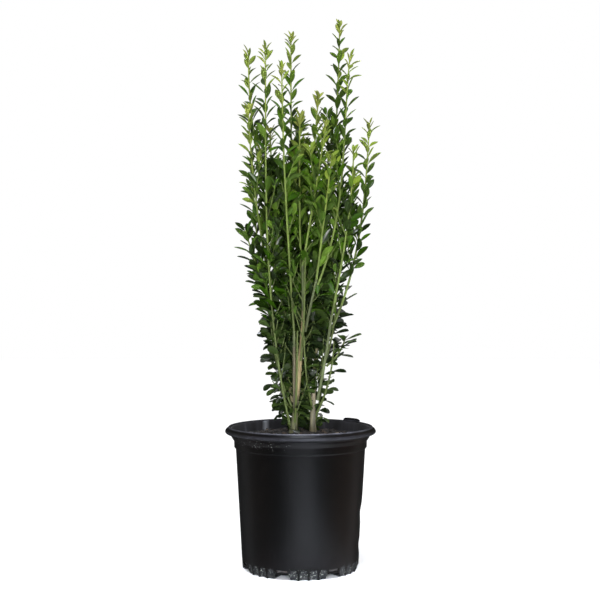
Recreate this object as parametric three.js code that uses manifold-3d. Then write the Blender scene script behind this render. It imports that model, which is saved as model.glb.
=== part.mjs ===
// Potted columnar japanese holly: a round black nursery pot filled with bark soil, two woody trunks,
// the bare boughs that fork from them, and narrow upright masses of small leaves.
// Millimetres, +Z up, the front faces -Y, and the origin lies under the middle of the pot.
import * as THREE from "three";
import { mergeVertices } from "three/addons/utils/BufferGeometryUtils.js";
import Module from "manifold-3d";

const wasm = await Module();
wasm.setup();

// Driving dimensions
const GAP = 0.3;
const POT = {
  height: 216, // from the ground to the crest of the rim
  rimRadius: 115.2, // the widest point, at the edge of the rolled lip
  crestRadius: 109,
  lipDrop: 8.4, // from the crest down to the edge of the lip
  neckRadius: 105.9, // the upper band, under the lip
  bandRadius: 101.4, // the lower band
  bodyTop: 183, // where the wall meets the step out to the lower band
  bodyTopRadius: 99,
  footTop: 18, // height of the fluted foot
  footTopRadius: 89.9,
  footRadius: 88.4, // at the ground
  footInnerRadius: 62,
  wall: 2,
  floorUnder: 7.5, // the floor stands clear of the ground on its feet
  floorTop: 10,
  segments: 32,
};
const FEET = {
  count: 7,
  notchWidth: 20,
  firstNotch: -108, // degrees from +X towards +Y, beside the front foot
  flutes: 4, // on each foot
  flutePitch: 9.6, // degrees
  fluteWidth: 9,
  fluteDepth: 1.2,
  slotWidth: 16,
  slotTop: 14.5,
};
const TAB = { azimuth: 40.5, halfAngle: 9.2, inner: 106.6, outer: 110.2, top: 220.5 };
const SOIL = { edge: 198.5, crown: 206, crownRadius: 32 };

// A leaf, with the foliage a little larger than life because there are fewer leaves than on the plant
const LEAF = { length: 34, width: 16, keel: 0.9, widest: 0.58, clear: 0.35, rooted: 0.35 };
// How the leaves are carried: distances from the tip, a height, and angles in degrees
const HABIT = { young: 110, upright: 200, lowTop: 400, steep: 22, wide: 50, droop: 50, sway: 20, roll: 76 };
const SPACING = { high: 22, low: 14.8 }; // along a stem, from one leaf to the next, and near the soil
const GOLDEN_ANGLE = 137.5;
const TUFT = { leaves: 3, spacing: 5.5 }; // the young leaves at a tip stand close together
const TWIG = { every: 140, angle: 24, shortest: 42, longest: 70, radius: 1.1 };
const STEM = { foot: 2.3, tip: 1.0, thickness: 1.2, sides: 3, step: 55, bare: 14 };
const REACH = 115; // nothing leaves this distance from the middle, across or in depth

// The two trunks, from a flat cut on the soil to their fork.
// lean is the share of the sideways reach that is done by the two inner handles of the centre line.
const TRUNKS = [
  { name: "trunk_left", foot: [-11, -8], tip: [4, -6, 378], lean: [0.35, 0.75], radii: [4.7, 2.6], flare: 2.3 },
  { name: "trunk_right", foot: [19, 4], tip: [21, 10, 300], lean: [-0.3, 0.6], radii: [4.4, 3.1], flare: 1.9 },
];

// The boughs: each leaves its limb at a share of that limb's height, and at 1 it carries it on.
const BOUGHS = [
  { name: "bough_left", on: "trunk_left", at: 0.27, tip: [-34, 14, 395], lean: [0.45, 0.7], radii: [2.6, 2] },
  { name: "bough_front", on: "trunk_left", at: 0.2, tip: [-10, -24, 362], lean: [0.7, 0.9], radii: [2.5, 2.1] },
  { name: "bough_mid", on: "trunk_left", at: 1, tip: [3, -16, 461], lean: [0.1, 0.6], radii: [2.5, 1.8] },
  { name: "bough_centre", on: "trunk_left", at: 0.9, tip: [24, -20, 440], lean: [0.3, 0.65], radii: [2.2, 1.8] },
  { name: "bough_right", on: "trunk_right", at: 0.52, tip: [48, -6, 387], lean: [0.45, 0.7], radii: [2.5, 2] },
  { name: "bough_rear_right", on: "trunk_right", at: 1, tip: [38, 34, 430], lean: [0.3, 0.7], radii: [2.9, 2] },
  { name: "bough_rear_mid", on: "trunk_right", at: 0.75, tip: [12, 20, 425], lean: [0.6, 0.9], radii: [2.4, 1.8] },
  { name: "bough_rear_left", on: "trunk_left", at: 0.44, tip: [-14, 36, 420], lean: [0.5, 0.8], radii: [2.5, 1.9] },
];

// The upright shoots, each one mass of leaves round its own stem.
const SHOOTS = [
  { name: "shoot_left_tall", on: "bough_left", at: 1, tip: [-80, 15, 790], lean: [0.1, 1.1] },
  { name: "shoot_left_outer", on: "trunk_left", at: 0.07, tip: [-53, -35, 784], lean: [1.15, 0.95] },
  { name: "shoot_front_left", on: "bough_front", at: 1, tip: [-28, -45, 757], lean: [0.5, 0.95] },
  { name: "shoot_rear_tall", on: "bough_rear_left", at: 1, tip: [-15, 35, 819], lean: [0.4, 0.8] },
  { name: "shoot_middle", on: "bough_mid", at: 0.9, tip: [-1, -8, 690], lean: [1.6, 1.4] },
  { name: "shoot_rear_middle", on: "bough_rear_mid", at: 1, tip: [29, 20, 721], lean: [0.2, 0.4] },
  { name: "shoot_front_right", on: "bough_mid", at: 1, tip: [38, -42, 671], lean: [0.35, 0.7] },
  { name: "shoot_tallest", on: "bough_rear_right", at: 1, tip: [60, 25, 832], lean: [0.5, 0.9] },
  { name: "shoot_right_tall", on: "bough_centre", at: 0.9, tip: [75, -15, 775], lean: [0.95, 0.75] },
  { name: "shoot_far_right", on: "bough_right", at: 0.85, tip: [106, 5, 680], lean: [0.8, 0.9] },
  { name: "shoot_right", on: "bough_right", at: 1, tip: [80, -30, 634], lean: [0.5, 0.95] },
  { name: "shoot_left_short", on: "bough_left", at: 0.9, tip: [-80, -8, 702], lean: [0.55, 0.9] },
  { name: "shoot_left_low", on: "bough_left", at: 0.72, tip: [-84, -14, 515], lean: [0.35, 0.7] },
  { name: "shoot_front_mid", on: "bough_centre", at: 1, tip: [46, -58, 621], lean: [0.35, 0.7] },
  { name: "shoot_right_low", on: "bough_right", at: 0.4, tip: [68, -16, 352], lean: [0.6, 0.9] },
  { name: "shoot_back_left", on: "bough_rear_left", at: 0.9, tip: [-48, 62, 680], lean: [0.7, 0.95] },
  { name: "shoot_back_mid", on: "bough_rear_left", at: 0.78, tip: [6, 74, 660], lean: [0.7, 0.95] },
  { name: "shoot_back_right", on: "bough_rear_right", at: 0.9, tip: [44, 68, 678], lean: [0.7, 0.95] },
  { name: "shoot_back_far", on: "bough_rear_right", at: 0.75, tip: [84, 44, 612], lean: [0.75, 0.95] },
  { name: "shoot_back_outer", on: "bough_left", at: 0.55, tip: [-76, 48, 628], lean: [0.75, 0.95] },
];

// The short leafy sprigs low on the trunks, worked out by a loop.
const SPRIGS = { count: 12, lowest: 0.1, rise: 0.068, height: 130, reach: 36, start: 280 };

const COLOURS = {
  pot: 0x1b1b1e,
  soil: 0x2e231b,
  trunk: 0x8a7c5e,
  bough: 0x7d7a4e,
  shoot: 0x4f7a2c,
  sprig: 0x35592a,
};

const UP = new THREE.Vector3(0, 0, 1);
const radians = THREE.MathUtils.degToRad;
const mix = THREE.MathUtils.lerp;

// A seeded number from 0 to 1 that depends only on its three labels.
function chance(seed, index, draw) {
  let h = Math.imul(seed, 374761393) ^ Math.imul(index + 1, 668265263) ^ Math.imul(draw + 1, 1013904223);
  h = Math.imul(h ^ (h >>> 13), 1274126177);
  h = Math.imul(h ^ (h >>> 15), 739982445);
  return ((h ^ (h >>> 16)) >>> 0) / 4294967296;
}

// Solids from closed geometries, and back
function solidOf(geometry) {
  const bare = new THREE.BufferGeometry();
  bare.setAttribute("position", geometry.getAttribute("position"));
  bare.setIndex(geometry.getIndex());
  const merged = mergeVertices(bare, 1e-4);
  const corners = merged.getIndex().array;
  const faces = [];
  for (let i = 0; i < corners.length; i += 3) {
    const [a, b, c] = corners.subarray(i, i + 3);
    if (a !== b && b !== c && a !== c) faces.push(a, b, c);
  }
  return new wasm.Manifold(
    new wasm.Mesh({
      numProp: 3,
      vertProperties: new Float32Array(merged.getAttribute("position").array),
      triVerts: new Uint32Array(faces),
    }),
  );
}

function geometryOf(solid) {
  const mesh = solid.getMesh();
  const geometry = new THREE.BufferGeometry();
  geometry.setAttribute("position", new THREE.BufferAttribute(mesh.vertProperties, 3));
  geometry.setIndex(new THREE.BufferAttribute(mesh.triVerts, 1));
  return geometry;
}

// The one body left after a join, without the loose scraps and with sealed hollows filled.
function mainBody(solid) {
  const bodies = solid.decompose();
  return bodies.reduce((best, body) => (body.volume() > best.volume() ? body : best));
}

function join(solids) {
  return solids.reduce((whole, solid) => whole.add(solid));
}

function cutAway(solid, cutters) {
  return cutters.reduce((left, cutter) => left.subtract(cutter), solid);
}

// A solid of revolution from a profile of [radius, height] points that starts and ends on the axis.
function turned(profile) {
  const points = profile.map(([radius, height]) => new THREE.Vector2(radius, height));
  return solidOf(new THREE.LatheGeometry(points, POT.segments).rotateX(Math.PI / 2));
}

// A block whose near face lies at one radius and its far face at another, turned to an azimuth.
function radialBlock(azimuth, near, far, width, bottom, top) {
  const block = new THREE.BoxGeometry(far - near, width, top - bottom);
  block.translate((near + far) / 2, 0, (bottom + top) / 2);
  return solidOf(block.rotateZ(radians(azimuth)));
}

// The pot
function outerProfile() {
  const { height, rimRadius, crestRadius, lipDrop, neckRadius, bandRadius, bodyTop } = POT;
  return [
    [0, POT.floorUnder],
    [POT.footInnerRadius - 2, POT.floorUnder],
    [POT.footInnerRadius, 0],
    [POT.footRadius, 0],
    [POT.footTopRadius, POT.footTop],
    [POT.bodyTopRadius, bodyTop],
    [bandRadius, bodyTop + 1.8],
    [bandRadius + 0.2, bodyTop + 11.5],
    [neckRadius - 0.4, bodyTop + 17],
    [neckRadius + 0.5, bodyTop + 20.5],
    [rimRadius - 2, height - lipDrop - 2],
    [rimRadius, height - lipDrop],
    [rimRadius, height - lipDrop + 2],
    [rimRadius - 1.8, height - 3.2],
    [crestRadius + 2.2, height - 3],
    [crestRadius + 0.6, height],
    [0, height],
  ];
}

// The inside of the pot, drawn in all round by an inset, up to a list of points that ends on the axis.
function innerProfile(inset, top) {
  const floor = POT.floorTop + inset;
  const pocket = POT.wall + inset;
  return [
    [0, floor],
    [POT.footInnerRadius + POT.wall + inset, floor],
    [POT.footInnerRadius + POT.wall + inset, pocket],
    [POT.footRadius - POT.wall - inset, pocket],
    [POT.footTopRadius - POT.wall - inset, POT.footTop],
    [POT.bodyTopRadius - POT.wall - inset, POT.bodyTop],
    [POT.bandRadius - POT.wall - inset, POT.bodyTop + 1.8],
    [POT.bandRadius + 0.2 - POT.wall - inset, POT.bodyTop + 11.5],
    ...top,
  ];
}

function notchAzimuths() {
  return Array.from({ length: FEET.count }, (_, i) => FEET.firstNotch + (i * 360) / FEET.count);
}

// Between the feet the floor is lifted, so each notch has a roof that bridges the pocket of the foot ring.
function bridges(inset) {
  const width = FEET.notchWidth + 2 * (POT.wall + inset);
  return notchAzimuths().map((azimuth) =>
    radialBlock(azimuth, POT.footInnerRadius - 4, POT.rimRadius, width, -1, POT.floorTop + inset),
  );
}

function fluteCutters() {
  const pitch = 360 / FEET.count;
  const slope = Math.atan2(POT.footTopRadius - POT.footRadius, POT.footTop);
  const middle = (POT.footRadius + POT.footTopRadius) / 2;
  return notchAzimuths().flatMap((notch) =>
    Array.from({ length: FEET.flutes }, (_, i) => {
      const cutter = new THREE.CylinderGeometry(1, 1, POT.footTop, 4).rotateX(Math.PI / 2);
      cutter.scale(FEET.fluteDepth, FEET.fluteWidth / 2, 1);
      cutter.rotateY(slope).translate(middle, 0, POT.footTop / 2 - 1);
      return solidOf(cutter.rotateZ(radians(notch + pitch / 2 + (i - (FEET.flutes - 1) / 2) * FEET.flutePitch)));
    }),
  );
}

function rimTab() {
  const [from, to] = [radians(TAB.azimuth - TAB.halfAngle), radians(TAB.azimuth + TAB.halfAngle)];
  const outline = new THREE.Shape();
  outline.absarc(0, 0, TAB.outer, from, to, false);
  outline.absarc(0, 0, TAB.inner, to, from, true);
  const depth = TAB.top - (POT.height - 4);
  const tab = new THREE.ExtrudeGeometry(outline, { depth, bevelEnabled: false, curveSegments: 4 });
  return solidOf(tab.translate(0, 0, TAB.top - depth));
}

function makePot() {
  const { height, crestRadius, neckRadius, wall } = POT;
  const mouth = [
    [neckRadius - 0.4 - wall, POT.bodyTop + 17],
    [crestRadius - 4.4, height - 3],
    [crestRadius - 2.2, height + 0.01],
    [0, height + 0.01],
  ];
  const inside = cutAway(turned(innerProfile(0, mouth)), bridges(0));
  const notches = notchAzimuths().map((azimuth) =>
    radialBlock(azimuth, POT.footInnerRadius - 6, POT.rimRadius, FEET.notchWidth, -1, POT.floorUnder),
  );
  const slots = notchAzimuths().map((azimuth) =>
    radialBlock(azimuth, POT.footInnerRadius + 14, POT.rimRadius, FEET.slotWidth, POT.floorTop - 0.4, FEET.slotTop),
  );
  const shell = turned(outerProfile()).subtract(inside).add(rimTab());
  return mainBody(cutAway(shell, [...notches, ...slots, ...fluteCutters()]));
}

// The soil fills the pot and is mounded a little round the trunks.
function makeSoil() {
  const rise = (SOIL.edge - POT.bodyTop - 11.5) / 5.5;
  const surface = [
    [mix(POT.bandRadius + 0.2, POT.neckRadius - 0.4, rise) - POT.wall - GAP, SOIL.edge],
    [mix(SOIL.crownRadius, POT.bodyTopRadius, 0.6), mix(SOIL.edge, SOIL.crown, 0.3)],
    [SOIL.crownRadius, SOIL.crown],
    [0, SOIL.crown],
  ];
  return mainBody(cutAway(turned(innerProfile(GAP, surface)), bridges(GAP)));
}

// A centre line that rises evenly from foot to tip.
function centreLine(foot, tip, lean) {
  const handle = (height, share) =>
    new THREE.Vector3(mix(foot.x, tip.x, share), mix(foot.y, tip.y, share), mix(foot.z, tip.z, height));
  return new THREE.CubicBezierCurve3(foot, handle(1 / 3, lean[0]), handle(2 / 3, lean[1]), tip);
}

// A limb of a few flat sides along a line, with a flat cut at each end and an edge towards facing.
function limbSolid(line, radiusAt, sides, steps, facing) {
  const places = [];
  const faces = [];
  for (let i = 0; i <= steps; i++) {
    const along = i === 0 || i === steps ? i / steps : (i - 0.15) / steps;
    const centre = line.getPoint(along);
    const tangent = i === 0 && radiusAt.flatFoot ? UP : line.getTangent(along);
    const side = facing.clone().addScaledVector(tangent, -facing.dot(tangent)).normalize();
    const cross = new THREE.Vector3().crossVectors(tangent, side);
    for (let k = 0; k < sides; k++) {
      const turn = (2 * Math.PI * k) / sides;
      const spoke = side.clone().multiplyScalar(Math.cos(turn)).addScaledVector(cross, Math.sin(turn));
      places.push(...centre.clone().addScaledVector(spoke, radiusAt(along)).toArray());
    }
  }
  for (let i = 0; i < steps; i++) {
    for (let k = 0; k < sides; k++) {
      const [a, b] = [i * sides + k, i * sides + ((k + 1) % sides)];
      faces.push(a, b, b + sides, a, b + sides, a + sides);
    }
  }
  const last = steps * sides;
  for (let k = 1; k < sides - 1; k++) {
    faces.push(0, k + 1, k, last, last + k, last + k + 1);
  }
  const geometry = new THREE.BufferGeometry();
  geometry.setAttribute("position", new THREE.Float32BufferAttribute(places, 3));
  geometry.setIndex(faces);
  return solidOf(geometry);
}

function horizontal(from, to) {
  return new THREE.Vector3(to.x - from.x, to.y - from.y, 0).normalize();
}

// Where a limb or stem of a given radius starts on the limb that carries it, a gap clear of it.
function footOn(limb, at, tip, radius) {
  const place = limb.line.getPoint(at);
  if (at === 1) return place.addScaledVector(limb.line.getTangent(1), GAP + 0.15 * radius);
  return place.addScaledVector(horizontal(place, tip), limb.radiusAt(at) + radius + GAP);
}

function makeTrunk({ name, foot, tip, lean, radii, flare }) {
  const line = centreLine(new THREE.Vector3(...foot, SOIL.crown + GAP), new THREE.Vector3(...tip), lean);
  const flareHeight = 9 / line.getLength();
  const radiusAt = (along) => mix(radii[0], radii[1], along) + flare * Math.exp(-along / flareHeight);
  radiusAt.flatFoot = true;
  return { name, line, radiusAt, solid: limbSolid(line, radiusAt, 8, 9, new THREE.Vector3(1, 0, 0)) };
}

function makeBough({ name, on, at, tip, lean, radii }, limbs) {
  const end = new THREE.Vector3(...tip);
  const foot = footOn(limbs.get(on), at, end, radii[0]);
  const line = centreLine(foot, end, lean);
  const radiusAt = (along) => mix(radii[0], radii[1], along);
  return { name, line, radiusAt, solid: limbSolid(line, radiusAt, 6, 6, horizontal(end, foot)) };
}

function makeStem({ name, on, at, tip, lean }, seed, limbs) {
  const end = new THREE.Vector3(...tip);
  const thickest = Math.min(STEM.foot, limbs.get(on).radiusAt(at)) * STEM.thickness;
  const line = centreLine(footOn(limbs.get(on), at, end, thickest), end, lean);
  const radiusAt = (along) => mix(thickest, STEM.tip * STEM.thickness, along);
  const steps = Math.max(3, Math.round(line.getLength() / STEM.step));
  const solid = limbSolid(line, radiusAt, STEM.sides, steps, horizontal(end, line.getPoint(0)));
  return { name, seed, line, radiusAt, length: line.getLength(), solids: [solid] };
}

// Low sprigs stand round the trunks in turn, each turned by the golden angle from the one before.
function sprigPlan() {
  return Array.from({ length: SPRIGS.count }, (_, i) => {
    const trunk = TRUNKS[i % TRUNKS.length];
    const azimuth = radians(SPRIGS.start + i * GOLDEN_ANGLE);
    const at = SPRIGS.lowest + i * SPRIGS.rise;
    const height = mix(SOIL.crown, trunk.tip[2], at) + SPRIGS.height * mix(0.8, 1.2, chance(i, 0, 9));
    const [x, y] = trunk.foot;
    const tip = [x + SPRIGS.reach * Math.cos(azimuth), y + SPRIGS.reach * Math.sin(azimuth), height];
    return { name: `sprig_${i + 1}`, on: trunk.name, at, tip, lean: [0.7, 0.95] };
  });
}

// A blade with a flat upper side and a keel below, from a root inside its stem to a pointed tip.
// start trims the root end, and extra fattens the blade, for the tests of what it would touch.
function leafSolid({ root, way, face, length }, start = 0, extra = 0) {
  const across = new THREE.Vector3().crossVectors(face, way);
  const at = (along, sideways, down) =>
    root
      .clone()
      .addScaledVector(way, along)
      .addScaledVector(across, sideways)
      .addScaledVector(face, -down);
  const half = (length / LEAF.length) * (LEAF.width / 2) + extra;
  const middle = length * LEAF.widest;
  const corners = [
    at(length * start, 0, 0),
    at(middle, half, -extra),
    at(middle, -half, -extra),
    at(middle, 0, LEAF.keel + extra),
    at(length + extra, 0, LEAF.keel),
  ];
  const geometry = new THREE.BufferGeometry();
  geometry.setAttribute("position", new THREE.Float32BufferAttribute(corners.flatMap((c) => c.toArray()), 3));
  geometry.setIndex([0, 2, 1, 0, 3, 2, 0, 1, 3, 1, 2, 4, 2, 3, 4, 3, 1, 4]);
  return solidOf(geometry);
}

// The way out of a stem at an azimuth round it.
function outward(tangent, azimuth) {
  const east = new THREE.Vector3(1, 0, 0).addScaledVector(tangent, -tangent.x).normalize();
  const north = new THREE.Vector3().crossVectors(tangent, east);
  return east.multiplyScalar(Math.cos(azimuth)).addScaledVector(north, Math.sin(azimuth));
}

// Leaves stand steeply round a young tip, wider lower down, and level or drooping near the soil.
function leafAt(stem, distance, index, turn) {
  const along = distance / stem.length;
  const root = stem.line.getPoint(along);
  const tangent = stem.line.getTangent(along);
  const age = Math.min(1, (stem.length - distance) / HABIT.young);
  const low = THREE.MathUtils.clamp((HABIT.lowTop - root.z) / (HABIT.lowTop - SOIL.crown), 0, 1);
  const spread =
    mix(HABIT.steep, HABIT.wide, Math.min(1, (stem.length - distance) / HABIT.upright)) +
    HABIT.droop * low +
    HABIT.sway * (chance(stem.seed, index, 1) - 0.5);
  const azimuth = index * GOLDEN_ANGLE + stem.seed * 77 + 40 * (chance(stem.seed, index, 2) - 0.5) + turn;
  const out = outward(tangent, radians(azimuth));
  const [rise, run] = [Math.cos(radians(spread)), Math.sin(radians(spread))];
  const way = tangent.clone().multiplyScalar(rise).addScaledVector(out, run);
  const face = tangent.clone().multiplyScalar(run).addScaledVector(out, -rise);
  return {
    root,
    way,
    face: face.applyAxisAngle(way, radians(HABIT.roll * (chance(stem.seed, index, 7) - 0.5))),
    length: LEAF.length * mix(0.55, 1, age) * mix(1, 0.95, low) * mix(0.88, 1.1, chance(stem.seed, index, 3)),
  };
}

// The distances along a stem at which its leaves stand, closing up into a tuft at the tip.
function leafPlaces(stem) {
  const tuft = stem.length - TUFT.leaves * TUFT.spacing;
  const places = [];
  for (let distance = STEM.bare; distance < tuft; ) {
    places.push(distance);
    const isLow = stem.line.getPoint(distance / stem.length).z < HABIT.lowTop;
    distance += isLow ? SPACING.low : SPACING.high;
  }
  return [...places, ...Array.from({ length: TUFT.leaves }, (_, i) => tuft + i * TUFT.spacing)];
}

// Side twigs leave the lower part of a stem and rise close along it.
function twigLines(stem) {
  const count = Math.floor(stem.length / TWIG.every);
  return Array.from({ length: count }, (_, i) => {
    const along = mix(0.12, 0.62, (i + 0.5 * chance(stem.seed, i, 4)) / count);
    const foot = stem.line.getPoint(along);
    const tangent = stem.line.getTangent(along);
    const out = outward(tangent, 2 * Math.PI * chance(stem.seed, i, 5));
    const length = mix(TWIG.shortest, TWIG.longest, chance(stem.seed, i, 6));
    const way = tangent.multiplyScalar(Math.cos(radians(TWIG.angle))).addScaledVector(out, Math.sin(radians(TWIG.angle)));
    const line = new THREE.LineCurve3(foot, foot.clone().addScaledVector(way, length));
    const radiusAt = (share) => mix(TWIG.radius, 0.7 * TWIG.radius, share);
    return { seed: stem.seed * 31 + i, line, radiusAt, length };
  });
}

// What is already there, so that a new twig or leaf can keep clear of every other node.
const standing = [];

function stand(owner, solid) {
  standing.push({ owner, solid, box: solid.boundingBox() });
}

function boxesMeet(a, b) {
  return [0, 1, 2].every((i) => a.min[i] <= b.max[i] && b.min[i] <= a.max[i]);
}

function isFree(owner, whole, outer) {
  const box = whole.boundingBox();
  if ([0, 1].some((i) => box.min[i] < -REACH || box.max[i] > REACH)) return false;
  return standing.every((there) => {
    const tested = there.owner === owner ? outer : whole;
    return !tested || !boxesMeet(there.box, box) || there.solid.intersect(tested).isEmpty();
  });
}

function growTwigs(stem) {
  return twigLines(stem).filter((twig) => {
    const facing = new THREE.Vector3(0, 1, 0);
    const clear = (share) => twig.radiusAt(share) + LEAF.clear;
    if (!isFree(stem.name, limbSolid(twig.line, clear, STEM.sides, 1, facing))) return false;
    const solid = limbSolid(twig.line, twig.radiusAt, STEM.sides, 1, facing);
    stem.solids.push(solid);
    stand(stem.name, solid);
    return true;
  });
}

// A leaf with no room is turned round its stem, and left out where no turn is free.
function growLeaf(mass, carrier, distance, index) {
  for (const turn of [0, 55, -55, 110]) {
    const leaf = leafAt(carrier, distance, index, turn);
    const outer = leafSolid(leaf, LEAF.rooted);
    if (!isFree(mass.name, leafSolid(leaf, 0, LEAF.clear), outer)) continue;
    const solid = leafSolid(leaf);
    mass.solids.push(solid);
    stand(mass.name, solid);
    return;
  }
}

// Every mass takes a leaf in turn, so that none crowds the next one out.
function growLeaves(stems) {
  const waiting = stems.flatMap((mass) =>
    [mass, ...growTwigs(mass)].flatMap((carrier) =>
      leafPlaces(carrier).map((distance, index) => ({ mass, carrier, distance, index })),
    ),
  );
  waiting.sort((a, b) => a.index - b.index);
  for (const { mass, carrier, distance, index } of waiting) growLeaf(mass, carrier, distance, index);
}

// The whole plant as a group of named meshes
const plant = new THREE.Group();
plant.name = "potted_holly";

function show(name, solid, colour, roughness) {
  const material = new THREE.MeshStandardMaterial({ color: colour, roughness, metalness: 0 });
  const mesh = new THREE.Mesh(geometryOf(solid), material);
  mesh.name = name;
  plant.add(mesh);
}

const pot = makePot();
const soil = makeSoil();
show("pot", pot, COLOURS.pot, 0.45);
show("soil", soil, COLOURS.soil, 0.95);
stand("pot", pot);
stand("soil", soil);

const limbs = new Map();
for (const row of TRUNKS) limbs.set(row.name, makeTrunk(row));
for (const row of BOUGHS) limbs.set(row.name, makeBough(row, limbs));
for (const { name, solid } of limbs.values()) {
  show(name, solid, name.startsWith("trunk") ? COLOURS.trunk : COLOURS.bough, 0.85);
  stand(name, solid);
}

const stems = [...SHOOTS, ...sprigPlan()].map((row, i) => makeStem(row, i + 1, limbs));
for (const stem of stems) stand(stem.name, stem.solids[0]);
growLeaves(stems);
for (const { name, solids } of stems) {
  show(name, mainBody(join(solids)), name.startsWith("shoot") ? COLOURS.shoot : COLOURS.sprig, 0.5);
}

export default plant;
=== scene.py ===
"""Potted columnar japanese holly: the looks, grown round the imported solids.

Lengths are millimetres until a mesh is made, in the frame of the solids: +Z up, the front faces -Y.
"""

import math
from collections import namedtuple
from types import SimpleNamespace as Row

import bmesh
import bpy
import numpy as np
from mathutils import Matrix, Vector


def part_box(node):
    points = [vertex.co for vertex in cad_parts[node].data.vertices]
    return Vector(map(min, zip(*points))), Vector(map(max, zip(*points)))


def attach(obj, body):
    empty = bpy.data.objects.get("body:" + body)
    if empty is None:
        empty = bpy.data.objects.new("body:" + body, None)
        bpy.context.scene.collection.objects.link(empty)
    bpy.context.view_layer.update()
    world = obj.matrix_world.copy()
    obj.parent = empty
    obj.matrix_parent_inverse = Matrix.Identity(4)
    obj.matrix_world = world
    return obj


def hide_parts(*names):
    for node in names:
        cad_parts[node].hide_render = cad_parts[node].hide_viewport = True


MM = 0.001
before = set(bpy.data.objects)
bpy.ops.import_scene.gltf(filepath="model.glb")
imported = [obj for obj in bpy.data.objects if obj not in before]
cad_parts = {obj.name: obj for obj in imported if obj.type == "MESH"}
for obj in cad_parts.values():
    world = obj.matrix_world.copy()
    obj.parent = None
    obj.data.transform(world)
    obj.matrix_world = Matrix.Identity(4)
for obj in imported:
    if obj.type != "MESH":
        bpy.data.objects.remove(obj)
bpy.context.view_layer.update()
pot_high = np.array(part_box("pot")[1]) / MM
soil_high = np.array(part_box("soil")[1]) / MM

# The pot, read from its solid where the frame gives the size
RIM_RADIUS = float(pot_high[0])
POT_HEIGHT = 216.0
TAB_TOP = float(pot_high[2])
CREST_RADIUS = RIM_RADIUS - 6.2
LIP_DROP, NECK_RADIUS, BAND_RADIUS = 8.4, 105.9, 101.4
BODY_TOP, BODY_TOP_RADIUS = 183.0, 99.0
FOOT_TOP, FOOT_TOP_RADIUS, FOOT_RADIUS, FOOT_INNER = 18.0, 89.9, 88.4, 62.0
FLOOR_UNDER, FLOOR_TOP, WALL = 7.5, 10.0, 2.0
SLOT_BOTTOM, SLOT_MIDDLE, SLOT_TOP = 10.2, 12.3, 14.5
# The feet and the flutes pressed into them, in columns of points round the pot
FEET, FLUTES, COLUMNS_A_FOOT, COLUMNS_A_FLUTE = 7, 4, 48, 9
POT_COLUMNS = FEET * COLUMNS_A_FOOT
NOTCH_HALF = (COLUMNS_A_FOOT - FLUTES * COLUMNS_A_FLUTE) / 2
SLOT_HALF = 5
FIRST_NOTCH = -108.0  # degrees
FLUTE = Row(depth=2.0, half=0.42, below_top=1.5, arch=6.0, fade=7, lift=0.55, grit=0.7)
BODY_ROWS = 40
INSIDE_FROM = 4  # rows past the crest of the rim
SWAY, SWAY_TURN = 0.35, 40  # how far the rim is out of round, and where
TAB_AZIMUTH, TAB_HALF_ANGLE, TAB_INNER, TAB_OUTER = 40.5, 9.2, 106.6, 110.2
# Dents low on the right of the wall: azimuth and height of the middle, spread in degrees, reach and depth
DENTS = ((-8, 62, 24, 38, 1.3), (-6, 85, 20, 11, 1.6), (-6, 35, 20, 9, 1.3))

# The soil
SOIL_TOP = float(soil_high[2])
SOIL_EDGE, SOIL_CROWN_RADIUS = 198.5, 32.0
SOIL_COLUMNS, SOIL_RINGS = 180, 46
# Bark chips: their number, half sizes, greatest tilts and the bare ring round a trunk
CHIP = Row(count=900, half=((2.5, 8), (1.2, 3.2), (0.5, 1.3)), tilt=(0.35, 0.4), clear=13)
CHIP_SHARES = (0.64, 0.9, 0.98)  # where each paler colour begins

# The plant, by the same rule as the solids, with finer stems and leaves of life size
GAP = 0.3
GOLDEN_ANGLE = 137.5
LEAF = Row(length=26.5, narrow=0.35, broad=0.44, thick=0.35, fold=0.38)
# Half widths along a leaf, for the pointed leaves high up and the blunt ones low down
LEAF_STATIONS = (0, 0.1, 0.24, 0.42, 0.6, 0.78, 0.92)
LEAF_POINTED = (0.06, 0.11, 0.54, 0.9, 1.0, 0.78, 0.36)
LEAF_BLUNT = (0.06, 0.1, 0.44, 0.8, 1.0, 0.97, 0.68)
# A leaf's size by its height: small at the base, largest over the boughs
LEAF_SIZE = ((210, 270, 310, 345, 430, 520, 600), (0.62, 0.76, 0.88, 1.08, 1.03, 0.95, 0.99))
YOUNG, LOW_TOP, BLUNT_FROM, BLUNT_TO = 70, 420, 540, 360
# The leaf's angle from its stem: by distance from the tip, what the soil adds and what chance adds
SPREAD = ((0, 18, 60, 200), (18, 35, 36, 38))
DROOP, DROOP_TOP, LEAF_SWAY = 52, 500, 36
# The leaves' twist about their length, their spacing and their curl, by height
ROLL = ((310, 420, 540, 640), (150, 130, 130, 85))
SPACING = ((400, 420, 560, 640), (5.6, 5.1, 5.1, 5.4))
CURL = ((540, 640), (0.13, 0.22))
TUFT = Row(leaves=7, spacing=2.4)
# Twigs on the shoots, on the limbs and at the foot of the limbs that show
TwigRule = namedtuple("TwigRule", "every angle shortest longest start end radius")
TWIG = TwigRule(33, 26, 34, 76, 0.04, 0.6, 1.0)
SIDE_TWIG = TwigRule(6, 42, 16, 60, 0.03, 1.0, 0.9)
BASAL_TWIG = TwigRule(6, 58, 14, 38, 0.02, 0.42, 0.8)
TWIG_BEND, TWIG_UP, TWIG_BARE, TWIG_TAPER, LIMB_AGE = 0.62, 0.55, 7.0, 0.55, 220.0
# The age added to a stem's leaves, in millimetres of growth, by the height of its tip
TIP_AGE = ((350, 520, 620, 690), (260, 150, 30, 0))
# How far twigs reach from the crown's axis, by height, and how far that axis stands off the pot's
CROWN = ((206, 240, 276, 313, 349, 423, 496, 570, 860), (38, 43, 47, 46, 52, 62, 74, 80, 84))
CROWN_SHIFT = ((206, 260, 310, 350), (-5, -9, -8, 0))
STEM = Row(foot=1.9, tip=1.0, bare=12)
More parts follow.
